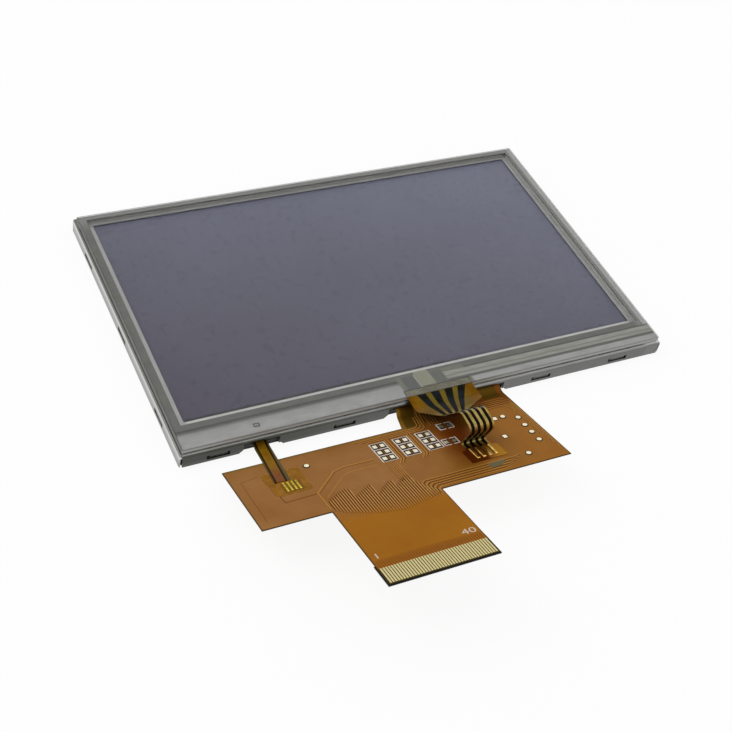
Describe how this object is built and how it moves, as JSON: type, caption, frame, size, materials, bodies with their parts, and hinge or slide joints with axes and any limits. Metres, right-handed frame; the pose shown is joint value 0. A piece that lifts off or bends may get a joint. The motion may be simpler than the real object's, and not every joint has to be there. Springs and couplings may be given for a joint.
{
  "type": "lcd display",
  "caption": "Flat colour display module in a folded steel bezel with a touch panel on its face, a flexible ribbon tail, a backlight tail and an arched touch tail.",
  "frame": {"origin": "centre of the flat rear face of the module's steel tray", "axes": "+Z out of the display through the touch face, +X along the long side, +Y away from the side where the flexible tails leave"},
  "size_m": [0.1054, 0.1105, 0.0148],
  "materials": {
    "steel_bezel": "satin bright-annealed steel",
    "steel_tray": "satin bright-annealed steel",
    "mould_plastic": "matt black moulded plastic",
    "reflector": "white reflective film",
    "guide_acrylic": "clear acrylic",
    "diffuser": "milky film",
    "prism_film": "finely ribbed film",
    "led_package": "white package with a pale yellow lens",
    "black_tape": "matt black adhesive tape",
    "grey_tape": "grey adhesive tape",
    "polariser": "dark grey polarising film",
    "cell_glass": "clear glass",
    "chip_silicon": "polished dark silicon",
    "circuit_film": "amber polyimide over copper",
    "backlight_film": "amber polyimide over copper",
    "stiffener_film": "matt black film",
    "gold_contacts": "gold plating",
    "tinned_pads": "tinned copper",
    "white_print": "white print",
    "solder": "bright solder",
    "touch_glass": "clear float glass",
    "touch_film": "clear polyester film with a hard coat",
    "spacer_adhesive": "clear adhesive film",
    "silver_ink": "grey silver ink",
    "touch_tail_film": "amber polyimide",
    "touch_tail_ink": "dark copper lines under a clear cover"
  },
  "bodies": {
    "root": {"front_bezel": "steel_bezel", "rear_tray": "steel_tray", "mould_frame": "mould_plastic", "reflector_film": "reflector", "light_guide": "guide_acrylic", "lower_diffuser": "diffuser", "lower_prism_film": "prism_film", "upper_prism_film": "prism_film", "upper_diffuser": "diffuser", "led_circuit": "backlight_film", "leds": "led_package", "panel_tape": "black_tape", "rear_polariser": "polariser", "tft_glass": "cell_glass", "colour_filter_glass": "cell_glass", "front_polariser": "polariser", "driver_chip": "chip_silicon", "main_circuit": "circuit_film", "tail_stiffener": "stiffener_film", "contact_fingers": "gold_contacts", "component_pads": "tinned_pads", "test_pads": "tinned_pads", "printed_boxes": "white_print", "backlight_joints": "solder", "touch_tape": "grey_tape", "touch_glass": "touch_glass", "touch_spacer": "spacer_adhesive", "silver_leads": "silver_ink", "touch_film": "touch_film", "touch_tail": "touch_tail_film", "touch_lines": "touch_tail_ink", "touch_joints": "solder"}
  },
  "joints": []
}
